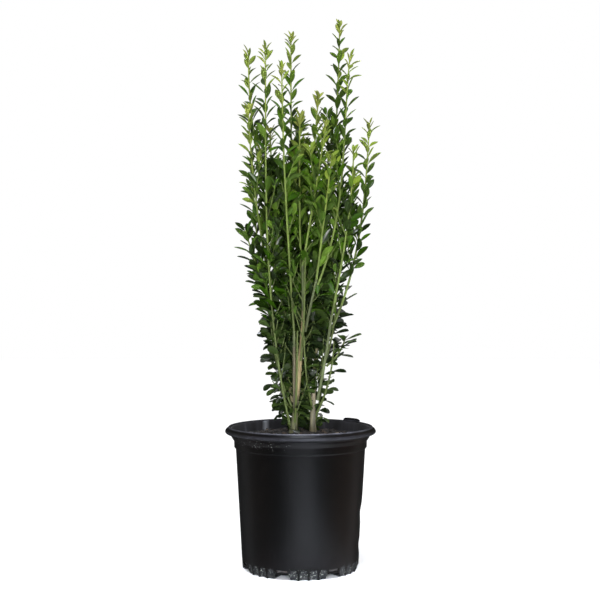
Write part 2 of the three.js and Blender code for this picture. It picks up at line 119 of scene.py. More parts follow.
# So that they show, no leaf stands before these limbs, within a reach to the side, between two heights
OPEN_LIMBS = {
    "trunk_left": (8.5, 262, 400),
    "trunk_right": (8, 200, 238),
    "bough_front": (5, 262, 400),
    "bough_mid": (6.5, 262, 500),
    "bough_centre": (4, 262, 500),
    "bough_right": (5, 262, 400),
}
# Few leaves stand within a reach before a shoot of the front half, or behind one of the rear half
OPEN = Row(reach=3.4, stays=0.12, tip=140)
# The arc, middle and half, by which twigs leave the limbs that show from the front
LIMB_SIDES = {name: (90, 125) for name in ("trunk_left", "bough_mid", "bough_front")}
LIMB_SIDES["bough_centre"] = (60, 125)
BASAL_SIDES = {"trunk_left": (155, 115), "trunk_right": (30, 140), "bough_right": (20, 150)}
TWIG_ARC = 115  # half of the arc, towards the crown's middle, by which twigs leave a shoot

# Trunks: foot, tip, how far over the line stands a third and two thirds up, end radii and flare
TRUNKS = {
    "trunk_left": ((-11, -8), (4, -6, 378), (0.35, 0.75), (4.7, 2.6), 2.3),
    "trunk_right": ((19, 4), (21, 10, 300), (-0.3, 0.6), (4.4, 3.1), 1.9),
}
FLARE_HEIGHT = 9
# Boughs and shoots: the limb that carries them and the place along it, tip, line and a bough's end radii
# The last two of a bough are its bark, 0 tan, 1 green or 2 brown, and how far along it the green begins
BOUGHS = {
    "bough_left": ("trunk_left", 0.27, (-34, 14, 395), (0.45, 0.7), (2.6, 2.0), 0, 0.72),
    "bough_front": ("trunk_left", 0.2, (-10, -24, 362), (0.7, 0.9), (2.5, 2.1), 2, 0.8),
    "bough_mid": ("trunk_left", 1, (3, -16, 461), (0.1, 0.6), (2.5, 1.8), 0, 0.15),
    "bough_centre": ("trunk_left", 0.9, (24, -20, 440), (0.3, 0.65), (2.2, 1.8), 1, 0.0),
    "bough_right": ("trunk_right", 0.52, (48, -6, 387), (0.45, 0.7), (2.5, 2.0), 1, 0.0),
    "bough_rear_right": ("trunk_right", 1, (38, 34, 430), (0.3, 0.7), (2.9, 2.0), 0, 0.72),
    "bough_rear_mid": ("trunk_right", 0.75, (12, 20, 425), (0.6, 0.9), (2.4, 1.8), 1, 0.0),
    "bough_rear_left": ("trunk_left", 0.44, (-14, 36, 420), (0.5, 0.8), (2.5, 1.9), 2, 0.72),
}
SHOOTS = {
    "shoot_left_tall": ("bough_left", 1, (-80, 15, 790), (0.1, 1.1)),
    "shoot_left_outer": ("trunk_left", 0.07, (-53, -35, 787), (1.15, 0.95)),
    "shoot_front_left": ("bough_front", 1, (-28, -45, 757), (0.5, 0.95)),
    "shoot_rear_tall": ("bough_rear_left", 1, (-15, 35, 821), (0.4, 0.8)),
    "shoot_middle": ("bough_mid", 0.9, (-1, -8, 690), (1.6, 1.4)),
    "shoot_rear_middle": ("bough_rear_mid", 1, (28, 20, 725), (0.2, 0.4)),
    "shoot_front_right": ("bough_mid", 1, (38, -42, 671), (0.35, 0.7)),
    "shoot_tallest": ("bough_rear_right", 1, (61, 25, 837), (0.5, 0.9)),
    "shoot_right_tall": ("bough_centre", 0.9, (75, -15, 777), (0.95, 0.75)),
    "shoot_far_right": ("bough_right", 0.85, (106, 5, 680), (0.8, 0.9)),
    "shoot_right": ("bough_right", 1, (80, -30, 634), (0.5, 0.95)),
    "shoot_left_short": ("bough_left", 0.9, (-80, -8, 702), (0.55, 0.9)),
    "shoot_left_low": ("bough_left", 0.72, (-84, -14, 515), (0.35, 0.7)),
    "shoot_front_mid": ("bough_centre", 1, (46, -58, 621), (0.35, 0.7)),
    "shoot_right_low": ("bough_right", 0.4, (68, -16, 352), (0.6, 0.9)),
    "shoot_back_left": ("bough_rear_left", 0.9, (-48, 62, 680), (0.7, 0.95)),
    "shoot_back_mid": ("bough_rear_left", 0.78, (6, 74, 660), (0.7, 0.95)),
    "shoot_back_right": ("bough_rear_right", 0.9, (44, 68, 678), (0.7, 0.95)),
    "shoot_back_far": ("bough_rear_right", 0.75, (84, 44, 612), (0.75, 0.95)),
    "shoot_back_outer": ("bough_left", 0.55, (-76, 48, 628), (0.75, 0.95)),
}
SPRIGS = Row(count=12, lowest=0.1, rise=0.068, height=130, reach=36, start=280)

# Colours, as sRGB bytes: leaves from the youngest kind to the oldest, each in two shades
LEAF_NAMES = ("tip", "young", "fresh", "deep", "old")
LEAF_TOPS = (
    ((117, 125, 57), (105, 113, 51)),
    ((102, 120, 40), (90, 108, 36)),
    ((53, 82, 14), (35, 56, 10)),
    ((33, 57, 7), (18, 31, 5)),
    ((27, 39, 10), (14, 23, 7)),
)
LEAF_UNDERS = (
    ((114, 123, 57), (101, 110, 50)),
    ((92, 107, 43), (77, 91, 37)),
    ((64, 86, 26), (45, 61, 20)),
    ((48, 68, 20), (26, 38, 11)),
    ((33, 45, 16), (17, 26, 9)),
)
# The roughness and the gloss of the two shades of each kind
LEAF_ROUGHNESS = ((0.42, 0.42), (0.38, 0.34), (0.26, 0.16), (0.22, 0.16), (0.32, 0.2))
LEAF_GLOSS = ((0.04, 0.05), (0.05, 0.08), (0.05, 0.15), (0.06, 0.22), (0.12, 0.45))
STEM_COLOURS = ((104, 117, 52), (86, 101, 45), (76, 89, 41), (57, 66, 30))
# Where a stem changes colour: twigs and sprigs by age, shoots by age and by depth under a height, the
# darker colours by depth being painted shade
TWIG_AGES = (60, 110, 150)
SHOOT_LIME, SHOOT_GREEN_FROM, SHOOT_SHADE_DEPTHS = 110, 480, (0, 80)
# A leaf's colour, as a kind, by its distance from the tip; and what the soil and chance add to it
TONE = ((0, 24, 64, 130, 220), (0.1, 0.75, 1.55, 2.5, 3.2))
LOW_TONE, LEAF_CHANCE, SHOOT_CHANCE, TWIG_CHANCE, LOW_STEADY = 2.4, 1.1, 0.3, 0.9, 0.7
# Each bark's pale, dark and mossy colours and, on the trunks, the colour of the aged foot
TRUNK_BARKS = {
    "bark_left_trunk": ((138, 122, 86), (82, 68, 44), (112, 102, 64), (78, 79, 46)),
    "bark_right_trunk": ((118, 106, 86), (64, 55, 42), (84, 80, 54), (96, 90, 66)),
}
BOUGH_BARKS = {
    "bark_bough": ((118, 108, 76), (68, 59, 38), (90, 88, 52)),
    "bark_green_bough": ((64, 72, 35), (42, 47, 23), (60, 70, 32)),
    "bark_brown_bough": ((78, 70, 46), (44, 39, 26), (64, 64, 38)),
}
CHIP_COLOURS = ((15, 11, 9), (28, 20, 15), (62, 47, 35), (96, 82, 66))

# The camera, level with the middle of the plant
CAMERA_AT = (-0.8, -1700.0, 409.0)
LENS = 66.5
# The floor, in metres
FLOOR_HALF, FLOOR_DROP = 6.0, 0.0005

# The colour sockets of a Mix node, by number, because its sockets share their names
MIX_A, MIX_B, MIX_RESULT = 6, 7, 2


def chance(seed, index, draw):
    """A seeded number from 0 to 1 that depends only on its three labels."""
    whole = 0xFFFFFFFF
    h = (seed * 374761393 & whole) ^ ((index + 1) * 668265263 & whole) ^ ((draw + 1) * 1013904223 & whole)
    h = (h ^ (h >> 13)) * 1274126177 & whole
    h = (h ^ (h >> 15)) * 739982445 & whole
    return (h ^ (h >> 16)) / 2**32


def mix(a, b, share):
    return a + (b - a) * share


def unit(vector):
    return vector / np.linalg.norm(vector)


def polar(reach, angle, height):
    return (reach * math.cos(angle), reach * math.sin(angle), height)


def clamp(share):
    return min(1.0, max(0.0, share))


def linear(tone):
    """The linear colour that a shader takes, for a grey level or for an sRGB colour in bytes."""
    if isinstance(tone, (int, float)):
        return (tone, tone, tone, 1.0)
    share = np.array(tone) / 255
    return tuple(np.where(share <= 0.04045, share / 12.92, ((share + 0.055) / 1.055) ** 2.4)) + (1.0,)


def ring_faces(rings, columns, flip=False):
    """The faces between rings of points, each ring closed on itself."""
    faces = []
    for ring in range(rings):
        for column in range(columns):
            a = ring * columns + column
            b = ring * columns + (column + 1) % columns
            faces.append((a, a + columns, b + columns, b) if flip else (a, b, b + columns, a + columns))
    return faces


class Pile:
    """Points, faces and material numbers gathered for one joined mesh."""

    def __init__(self):
        self.points, self.faces, self.kinds, self.count = [], [], [], 0

    def add(self, points, faces, kinds):
        self.points.append(points)
        self.faces.extend(tuple(i + self.count for i in face) for face in faces)
        self.kinds.extend(kinds if isinstance(kinds, list) else [kinds] * len(faces))
        self.count += len(points)


def place_object(name, data):
    placed = bpy.data.objects.new(name, data)
    bpy.context.scene.collection.objects.link(placed)
    return placed


def make_piece(name, pile, materials, nodes=(), sharp=50):
    mesh = bpy.data.meshes.new(name)
    mesh.from_pydata((np.concatenate(pile.points) * MM).tolist(), [], pile.faces)
    for material in materials:
        mesh.materials.append(material)
    mesh.polygons.foreach_set("material_index", pile.kinds)
    mesh.polygons.foreach_set("use_smooth", [True] * len(pile.faces))
    mesh.set_sharp_from_angle(angle=math.radians(sharp))
    mesh.update()
    piece = place_object(name, mesh)
    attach(piece, "root")
    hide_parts(*nodes)
    return piece


# Materials


def plain_material(name, colour, roughness, specular=0.5):
    material = bpy.data.materials.new(name)
    material.use_nodes = True
    shader = material.node_tree.nodes["Principled BSDF"]
    shader.inputs["Base Color"].default_value = linear(colour)
    shader.inputs["Roughness"].default_value = roughness
    shader.inputs["Specular IOR Level"].default_value = specular
    return material


class Nodes:
    """A short way to add and link the nodes of one material."""

    def __init__(self, name, roughness, specular=0.5):
        self.material = plain_material(name, (128, 128, 128), roughness, specular)
        self.tree = self.material.node_tree
        self.shader = self.tree.nodes["Principled BSDF"]
        self.place = self.add("ShaderNodeTexCoord", {}).outputs["Object"]

    def feed(self, node, sockets):
        """Links each socket of a node to its source, or sets a constant on it."""
        for key, source in sockets.items():
            if isinstance(source, bpy.types.NodeSocket):
                self.tree.links.new(source, node.inputs[key])
            else:
                node.inputs[key].default_value = source
        return node

    def add(self, kind, sockets):
        return self.feed(self.tree.nodes.new(kind), sockets)

    def noise(self, scale, detail=4.0, stretch=(1, 1, 1)):
        place = self.add("ShaderNodeMapping", {"Vector": self.place, "Scale": stretch}).outputs["Vector"]
        sockets = {"Vector": place, "Scale": scale, "Detail": detail}
        return self.add("ShaderNodeTexNoise", sockets).outputs["Fac"]

    def ramp(self, source, *stops):
        """A source as a colour, by stops of a place and a tone."""
        node = self.add("ShaderNodeValToRGB", {"Fac": source})
        elements = node.color_ramp.elements
        while len(elements) < len(stops):
            elements.new(0.5)
        for element, (position, tone) in zip(elements, stops):
            element.position = position
            element.color = linear(tone)
        return node.outputs["Color"]

    def math(self, operation, first, second):
        node = self.add("ShaderNodeMath", {0: first, 1: second})
        node.operation = operation
        return node.outputs["Value"]

    def zone(self, axis, low, high, soft):
        """1 between two places along an axis, falling to 0 over a soft edge, in metres."""
        place = self.add("ShaderNodeSeparateXYZ", {"Vector": self.place}).outputs[axis]
        shares = []
        for start, end in ((low - soft, low + soft), (high + soft, high - soft)):
            node = self.add("ShaderNodeMapRange", {"Value": place, "From Min": start, "From Max": end})
            shares.append(node.outputs["Result"])
        return self.math("MULTIPLY", *shares)

    def blend(self, share, first, second):
        """The first colour, or a tone, turning into the second by a share."""
        node = self.tree.nodes.new("ShaderNodeMix")
        node.data_type = "RGBA"
        first, second = (c if isinstance(c, bpy.types.NodeSocket) else linear(c) for c in (first, second))
        return self.feed(node, {"Factor": share, MIX_A: first, MIX_B: second}).outputs[MIX_RESULT]

    def tinge(self, colour, share, mask, tint):
        """A colour that takes on a tint by a share, within a mask."""
        return self.blend(self.math("MULTIPLY", share, mask), colour, tint)

    def bump(self, height, strength, distance):
        sockets = {"Height": height, "Strength": strength, "Distance": distance}
        node = self.add("ShaderNodeBump", sockets)
        self.feed(self.shader, {"Normal": node.outputs["Normal"]})

    def colour(self, source):
        self.feed(self.shader, {"Base Color": source})


def pot_material():
    """Black moulded plastic with a broad sheen, brown dust towards the sides, specks, and painted
    highlights, mottled like scuffs, along the rim's lip edge and crest.
    """
    nodes = Nodes("pot_black_plastic", 0.42, 0.026)
    dust = nodes.ramp(nodes.noise(9.0, 5.0, (1, 1, 0.35)), (0.4, 0), (0.7, 0.5))
    sides = nodes.math("SUBTRACT", 1.0, nodes.zone("X", -0.055, 0.055, 0.03))
    colour = nodes.tinge((1, 1, 1), dust, sides, (13, 8, 5))
    specks = nodes.ramp(nodes.noise(380.0, 2.0), (0.64, 0), (0.73, 0.8))
    neck = nodes.zone("Z", 0.192, 0.204, 0.004)
    left_neck = nodes.math("MULTIPLY", nodes.zone("X", -0.088, -0.02, 0.012), neck)
    colour = nodes.tinge(colour, specks, left_neck, (90, 90, 87))
    # Painted highlights: the lip edge and the crest of the rim are lightened in thin bands, mottled by
    # noise
    scuffed_highlight = nodes.ramp(nodes.noise(60.0, 4.0), (0.3, 0.5), (0.6, 1))
    colour = nodes.tinge(colour, scuffed_highlight, nodes.zone("Z", 0.2065, 0.2105, 0.0015), (25, 25, 27))
    colour = nodes.tinge(colour, scuffed_highlight, nodes.zone("Z", 0.2146, 0.218, 0.0008), (44, 44, 47))
    grit = nodes.ramp(nodes.noise(460.0, 2.0), (0.64, 0), (0.74, 0.7))
    nodes.colour(nodes.tinge(colour, grit, nodes.zone("Z", -0.01, 0.014, 0.004), (92, 92, 86)))
    gloss = nodes.ramp(nodes.noise(34.0, 4.0), (0.3, 0.29), (0.75, 0.35))
    facing = nodes.add("ShaderNodeLayerWeight", {"Blend": 0.5}).outputs["Facing"]
    turned_away = nodes.ramp(facing, (0.4, 0), (0.75, 1))
    nodes.feed(nodes.shader, {"Roughness": nodes.blend(turned_away, gloss, 0.9)})
    nodes.bump(nodes.noise(420.0, 3.0), 0.08, 0.0006)
    return nodes.material


def flute_material():
    """The same plastic in the flutes of the feet, where grit sticks."""
    nodes = Nodes("pot_flute_grit", 0.6, 0.05)
    surface_tone = nodes.ramp(nodes.noise(90.0, 3.0), (0.35, (7, 8, 9)), (0.65, (20, 20, 20)))
    grit = nodes.ramp(nodes.noise(460.0, 2.0), (0.6, 0), (0.72, 0.8))
    nodes.colour(nodes.blend(grit, surface_tone, (104, 106, 100)))
    return nodes.material


def inside_material():
    """The inner wall, greyed by dried soil in upright streaks whose lighter greys are partly a painted
    sheen, with a painted pale reflection in a narrow upright band on the left.
    """
    nodes = Nodes("pot_inner_wall", 0.5, 0.15)
    streaks = nodes.noise(60.0, 3.0, (1, 1, 0.12))
    # Upright streaks of dried soil, their lighter greys partly a painted sheen
    surface_tone = nodes.ramp(streaks, (0.35, (20, 20, 22)), (0.6, (36, 36, 40)), (0.75, (60, 60, 66)))
    # Painted reflection: a narrow pale upright band on the left of the inner wall
    nodes.colour(nodes.blend(nodes.zone("X", -0.059, -0.053, 0.003), surface_tone, (104, 107, 112)))
    return nodes.material


def soil_material():
    nodes = Nodes("soil_bark_mix", 0.95)
    stops = ((0.3, (7, 5, 4)), (0.5, (15, 11, 8)), (0.66, (28, 20, 15)), (0.8, (58, 45, 35)))
    nodes.colour(nodes.ramp(nodes.noise(150.0, 6.0), *stops))
    nodes.bump(nodes.noise(320.0, 5.0), 0.9, 0.002)
    return nodes.material


def chip_material(name, colour):
    nodes = Nodes(name, 0.9)
    grain = nodes.noise(210.0, 4.0, (1, 3, 1))
    darker = tuple(c * 0.6 for c in colour)
    nodes.colour(nodes.ramp(grain, (0.35, darker), (0.65, colour)))
    nodes.bump(grain, 0.6, 0.001)
    return nodes.material


def bark_material(name, pale, dark, moss, base=None):
    """Smooth young bark with streaks along the limb, mossy patches and, on the trunks, an aged foot."""
    nodes = Nodes(name, 0.8)
    streaks = nodes.noise(170.0, 5.0, (1, 1, 0.16))
    patches = nodes.ramp(nodes.noise(28.0, 3.0), (0.42, 0), (0.62, 0.7))
    bark = nodes.ramp(streaks, (0.34, dark), (0.62, pale))
    colour = nodes.blend(patches, bark, moss)
    if base:
        aged = nodes.ramp(streaks, (0.34, tuple(0.6 * c for c in base)), (0.62, base))
        colour = nodes.blend(nodes.zone("Z", 0.1, 0.262, 0.012), colour, aged)
    nodes.colour(colour)
    nodes.bump(streaks, 0.5, 0.0012)
    return nodes.material


# The pot


def notch_share(column):
    """1 in a notch between two feet, falling over its slanted sides to 0 on a foot."""
    within = column % COLUMNS_A_FOOT
    past = min(within, COLUMNS_A_FOOT - within) - NOTCH_HALF
    return clamp(1 - past / 2)


def flute_depth(column, height):
    """How far an arched flute is pressed into the foot at a column and height."""
    within = column % COLUMNS_A_FOOT - NOTCH_HALF
    if not 0 <= within <= FLUTES * COLUMNS_A_FLUTE:
        return 0.0
    across = abs((within % COLUMNS_A_FLUTE) / COLUMNS_A_FLUTE - 0.5) / FLUTE.half
    if across >= 1:
        return 0.0
    hollow = math.sqrt(1 - across * across)
    arch = FOOT_TOP - FLUTE.below_top - FLUTE.arch * (1 - hollow)
    return FLUTE.depth * hollow * clamp((arch - height) / FLUTE.fade)


def dent_at(azimuth, height):
    """How far the dents press the wall in at a place."""
    push = 0.0
    for middle, level, spread, reach, depth in DENTS:
        push += depth * math.exp(-(((azimuth - middle) / spread) ** 2) - ((height - level) / reach) ** 2)
    return push


def eased(profile, reach):
    """A profile whose corners are rounded over a reach on each side."""
    rows = [np.array(point, float) for point in profile]
    smooth = [rows[0]]
    for before, corner, after in zip(rows, rows[1:], rows[2:]):
        ends = []
        for other in (before, after):
            length = np.linalg.norm(other - corner)
            ends.append(mix(corner, other, min(0.45, reach / length)))
        for t in (0, 0.25, 0.5, 0.75, 1):
            smooth.append(mix(mix(ends[0], corner, t), mix(corner, ends[1], t), t))
    return [tuple(point) for point in smooth + [rows[-1]]]


def foot_ring(height, inset=0):
    return (mix(FOOT_RADIUS, FOOT_TOP_RADIUS, height / FOOT_TOP) - inset, height)


def body_ring(share, inset=0):
    return (mix(FOOT_TOP_RADIUS, BODY_TOP_RADIUS, share) - inset, mix(FOOT_TOP, BODY_TOP, share))


def pot_profile():
    """Rings of (radius, height) from under the floor, up outside, over the rim and down inside."""
    under = [(FOOT_INNER / 2, FLOOR_UNDER), (FOOT_INNER - 2, FLOOR_UNDER), (FOOT_INNER, 0)]
    slot = (SLOT_BOTTOM, SLOT_MIDDLE, SLOT_TOP)
    foot = [foot_ring(z) for z in (0, 1.5, 3, 4.5, 6, FLOOR_UNDER, *slot, 16, FOOT_TOP)]
    body = [body_ring(share) for share in np.linspace(0.02, 0.96, BODY_ROWS)]
    bands = [
        (BODY_TOP_RADIUS, BODY_TOP),
        (BAND_RADIUS, BODY_TOP + 1.8),
        (BAND_RADIUS + 0.2, BODY_TOP + 11.5),
        (NECK_RADIUS - 0.4, BODY_TOP + 17),
    ]
    edge = POT_HEIGHT - LIP_DROP
    rim = [
        (NECK_RADIUS + 0.5, BODY_TOP + 20.5),
        (RIM_RADIUS - 2, edge - 2),
        (RIM_RADIUS, edge),
        (RIM_RADIUS, edge + 2),
        (RIM_RADIUS - 1.8, POT_HEIGHT - 3.2),
        (CREST_RADIUS + 2.4, POT_HEIGHT - 3),
        (CREST_RADIUS + 1.2, POT_HEIGHT - 0.2),
        (CREST_RADIUS - 0.6, POT_HEIGHT + 0.25),
        (CREST_RADIUS - 3.4, POT_HEIGHT - 2),
    ]
    inside = [(radius - WALL, z) for radius, z in reversed(bands)] + [body_ring(0.4, WALL)]
    inner_foot = [foot_ring(z, WALL) for z in (FOOT_TOP, *reversed(slot))]
    floor = [(FOOT_INNER, FLOOR_TOP), (FOOT_INNER / 2, FLOOR_TOP)]
    return under + foot + body[:-1] + eased([body[-1], *bands, *rim, *inside], 0.9) + inner_foot + floor


def pot_point(row, column):
    return row * POT_COLUMNS + column % POT_COLUMNS


def is_slot(column):
    past = column % COLUMNS_A_FOOT
    return min(past, COLUMNS_A_FOOT - 1 - past) < SLOT_HALF


def pot_points(profile, crest):
    """The profile's rings, with dents, flutes and notches pressed in and the rim a little out of round."""
    points = []
    for row, (radius, height) in enumerate(profile):
        is_wall = radius > FOOT_INNER
        is_foot = is_wall and row <= crest and height < FOOT_TOP
        for column in range(POT_COLUMNS):
            azimuth = FIRST_NOTCH + 360 * column / POT_COLUMNS
            flute = flute_depth(column, height)
            push, sway, lift = 0.0, 0.0, height
            if is_wall:
                push = dent_at((azimuth + 180) % 360 - 180, height)
                rise = max(0.0, height / POT_HEIGHT)
                sway = SWAY * math.sin(math.radians(2 * azimuth + SWAY_TURN)) * rise**3
            if is_foot:
                push += flute
            if height < FLOOR_UNDER:
                lift = mix(height, FLOOR_UNDER, notch_share(column))
                lift += FLUTE.lift * flute * (1 - lift / FLOOR_UNDER)
            points.append(polar(radius - push + sway, math.radians(azimuth), lift))
    return points


def make_pot():
    profile = pot_profile()
    heights = [z for _, z in profile]
    last = len(profile) - 1
    crest = int(np.argmax(heights))
    in_slot = [radius > FOOT_INNER + 10 and SLOT_BOTTOM <= z <= SLOT_TOP for radius, z in profile]
    slot_rows = [row for row in range(last) if in_slot[row] and in_slot[row + 1]]
    faces, kinds = [], []
    for number, face in enumerate(ring_faces(last, POT_COLUMNS)):
        row, column = divmod(number, POT_COLUMNS)
        if row in slot_rows and is_slot(column):
            continue
        faces.append(face)
        in_flute = row < crest and flute_depth(column + 0.5, heights[row]) > FLUTE.grit
        kinds.append(1 if in_flute else 2 if row > crest + INSIDE_FROM else 0)
    outer = [row for row in slot_rows if row < crest]
    inner = [row for row in slot_rows if row > crest]
    faces += slot_walls(outer, inner)
    middle_under = len(profile) * POT_COLUMNS
    middle_floor = middle_under + 1
    for column in range(POT_COLUMNS):
        faces.append((middle_under, pot_point(0, column + 1), pot_point(0, column)))
        faces.append((middle_floor, pot_point(last, column), pot_point(last, column + 1)))
    kinds += [0] * (len(faces) - len(kinds))
    middles = [(0, 0, FLOOR_UNDER), (0, 0, FLOOR_TOP)]
    pile = Pile()
    pile.add(np.array(pot_points(profile, crest) + middles), faces, kinds)
    pile.add(*rim_tab(), 0)
    materials = [pot_material(), flute_material(), inside_material()]
    tidy_mesh(make_piece("nursery_pot", pile, materials, ["pot"], sharp=38))


def slot_walls(outer, inner):
    """The four walls of each drain slot, through the pot from its outer rows to its inner ones."""
    at = pot_point
    low_out, high_out = outer[0], outer[-1] + 1
    high_in, low_in = inner[0], inner[-1] + 1
    faces = []
    for column in filter(is_slot, range(POT_COLUMNS)):
        after = column + 1
        faces.append((at(low_out, column), at(low_out, after), at(low_in, after), at(low_in, column)))
        faces.append((at(high_out, after), at(high_out, column), at(high_in, column), at(high_in, after)))
        for edge, neighbour, flip in ((column, column - 1, False), (after, after, True)):
            if is_slot(neighbour):
                continue
            for out, back in zip(outer, reversed(inner)):
                wall = (at(out, edge), at(back + 1, edge), at(back, edge), at(out + 1, edge))
                faces.append(wall[::-1] if flip else wall)
    return faces


def rim_tab():
    """The small upright lug on the rim, a rounded plate that follows the curve."""
    steps, ease = 12, 0.8
    outer = [(TAB_OUTER, POT_HEIGHT - 4), (TAB_OUTER, TAB_TOP - ease), (TAB_OUTER - ease, TAB_TOP)]
    inner = [(TAB_INNER + ease, TAB_TOP), (TAB_INNER, TAB_TOP - ease)]
    outline = [(TAB_INNER, POT_HEIGHT - 4)] + outer + inner
    points = []
    for step in range(steps + 1):
        share = 2 * step / steps - 1
        angle = math.radians(TAB_AZIMUTH + TAB_HALF_ANGLE * share)
        drop = 2 * ease * abs(share) ** 6
        for radius, height in outline:
            points.append(polar(radius, angle, height - drop if height > POT_HEIGHT else height))
    sides = len(outline)
    faces = ring_faces(steps, sides, flip=True)
    faces.append(tuple(range(sides)))
    faces.append(tuple(steps * sides + k for k in reversed(range(sides))))
    return np.array(points), faces


def tidy_mesh(piece):
    """Merges points that fell together and drops the faces that closed up with them."""
    work = bmesh.new()
    work.from_mesh(piece.data)
    bmesh.ops.remove_doubles(work, verts=work.verts, dist=1e-6)
    bmesh.ops.dissolve_degenerate(work, edges=work.edges, dist=1e-7)
    bmesh.ops.recalc_face_normals(work, faces=work.faces)
    work.to_mesh(piece.data)
    work.free()


# The soil


def wave(x, y, scale, seed):
    """A smooth bumpy height from a few crossed waves."""
    total = 0.0
    for k in range(5):
        angle = 2 * math.pi * chance(seed, k, 0)
        pitch = scale * mix(0.6, 1.5, chance(seed, k, 1))
        total += math.sin((x * math.cos(angle) + y * math.sin(angle)) / pitch + 6.28 * chance(seed, k, 2))
    return total / 5


def soil_height(x, y):
    fall = clamp((math.hypot(x, y) - SOIL_CROWN_RADIUS) / (BAND_RADIUS - SOIL_CROWN_RADIUS))
    mound = mix(SOIL_TOP - 0.6, SOIL_EDGE - 0.5, fall)
    return mound + 0.7 * wave(x, y, 7.0, 3) + 0.9 * wave(x, y, 19.0, 4)


def make_soil():
    turns = [2 * math.pi * column / SOIL_COLUMNS for column in range(SOIL_COLUMNS)]
    points = [(0.0, 0.0, soil_height(0, 0))]
    for ring in range(1, SOIL_RINGS + 1):
        for angle in turns:
            x, y, _ = polar((BAND_RADIUS + 0.2) * ring / SOIL_RINGS, angle, 0)
            points.append((x, y, soil_height(x, y)))
    lower = (
        (BAND_RADIUS - WALL - GAP, BODY_TOP + 4),
        (BODY_TOP_RADIUS - WALL - GAP, BODY_TOP - 1),
        (FOOT_TOP_RADIUS - WALL - GAP, FOOT_TOP),
        (FOOT_TOP_RADIUS - WALL - 2, FLOOR_TOP + GAP),
    )
    for reach, height in lower:
        for angle in turns:
            push = 1.0 - dent_at(math.degrees(angle + math.pi) % 360 - 180, height) / reach
            points.append(polar(reach * push, angle, height))
    below = SOIL_RINGS + len(lower) - 1
    faces = [(0, 1 + c, 1 + (c + 1) % SOIL_COLUMNS) for c in range(SOIL_COLUMNS)]
    faces += [tuple(1 + i for i in face) for face in ring_faces(below, SOIL_COLUMNS, flip=True)]
    faces.append(tuple(1 + below * SOIL_COLUMNS + c for c in reversed(range(SOIL_COLUMNS))))
    pile = Pile()
    pile.add(np.array(points), faces, 0)
    make_piece("soil_bed", pile, [soil_material()], ["soil"])


def rotation(yaw, pitch, roll):
    cy, sy, cp, sp, cr, sr = (f(a) for a in (yaw, pitch, roll) for f in (math.cos, math.sin))
    turn = np.array(((cy, -sy, 0), (sy, cy, 0), (0, 0, 1)))
    tip = np.array(((cp, 0, sp), (0, 1, 0), (-sp, 0, cp)))
    rock = np.array(((1, 0, 0), (0, cr, -sr), (0, sr, cr)))
    return turn @ tip @ rock


def make_chips():
    """Shreds of bark that lie on the soil in no order, clear of the trunks."""
    corners = np.array([(x, y, z) for z in (-1, 1) for y in (-1, 1) for x in (-1, 1)], float)
    box = [(0, 2, 3, 1), (4, 5, 7, 6), (0, 1, 5, 4), (2, 6, 7, 3), (0, 4, 6, 2), (1, 3, 7, 5)]
    pitch, roll = CHIP.tilt
    pile = Pile()
    for i in range(CHIP.count):
        draw = lambda k, i=i: chance(901, i, k)
        x, y, _ = polar((BODY_TOP_RADIUS - 6) * math.sqrt(draw(0)), 2 * math.pi * draw(1), 0)
        if any(math.hypot(x - foot[0], y - foot[1]) < CHIP.clear for foot, *_ in TRUNKS.values()):
            continue
        shares = (draw(2) ** 2, draw(3), draw(4))
        half = np.array([mix(*ends, share) for ends, share in zip(CHIP.half, shares)])
        shape = corners * half
        shape[:, 1] *= np.where(shape[:, 0] > 0, mix(0.4, 1, draw(5)), 1)
        shape[:, 0] += shape[:, 1] * mix(-0.6, 0.6, draw(6))
        tilt = rotation(2 * math.pi * draw(7), mix(-pitch, pitch, draw(8)), mix(-roll, roll, draw(9)))
        place = np.array((x, y, soil_height(x, y) + 0.6 * half[2]))
        pile.add(shape @ tilt.T + place, box, int(np.digitize(draw(10), CHIP_SHARES)))
    materials = [chip_material(f"bark_chip_{k + 1}", colour) for k, colour in enumerate(CHIP_COLOURS)]
    make_piece("bark_chips", pile, materials, sharp=30)


# Limbs and stems


def centre_line(foot, tip, lean):
    """The four handles of a line that rises evenly from foot to tip."""
    foot, tip = np.array(foot, float), np.array(tip, float)
    handles = [foot]
    for height, share in ((1 / 3, lean[0]), (2 / 3, lean[1])):
        handles.append(np.append(mix(foot[:2], tip[:2], share), mix(foot[2], tip[2], height)))
    return np.array(handles + [tip])


def point_on(line, t):
    s = 1 - t
    return s**3 * line[0] + 3 * s**2 * t * line[1] + 3 * s * t**2 * line[2] + t**3 * line[3]


def tangent_on(line, t):
    s = 1 - t
    return unit(s**2 * (line[1] - line[0]) + 2 * s * t * (line[2] - line[1]) + t**2 * (line[3] - line[2]))


def marks_on(line, start, end, count):
    return np.array([point_on(line, t) for t in np.linspace(start, end, count)])


def length_of(line):
    return float(np.linalg.norm(np.diff(marks_on(line, 0, 1, 41), axis=0), axis=1).sum())


def sideways(tangent, azimuth):
    """The way out of a stem at an azimuth round it."""
    east = unit(np.array((1.0, 0, 0)) - tangent * tangent[0])
    return east * math.cos(azimuth) + np.cross(tangent, east) * math.sin(azimuth)


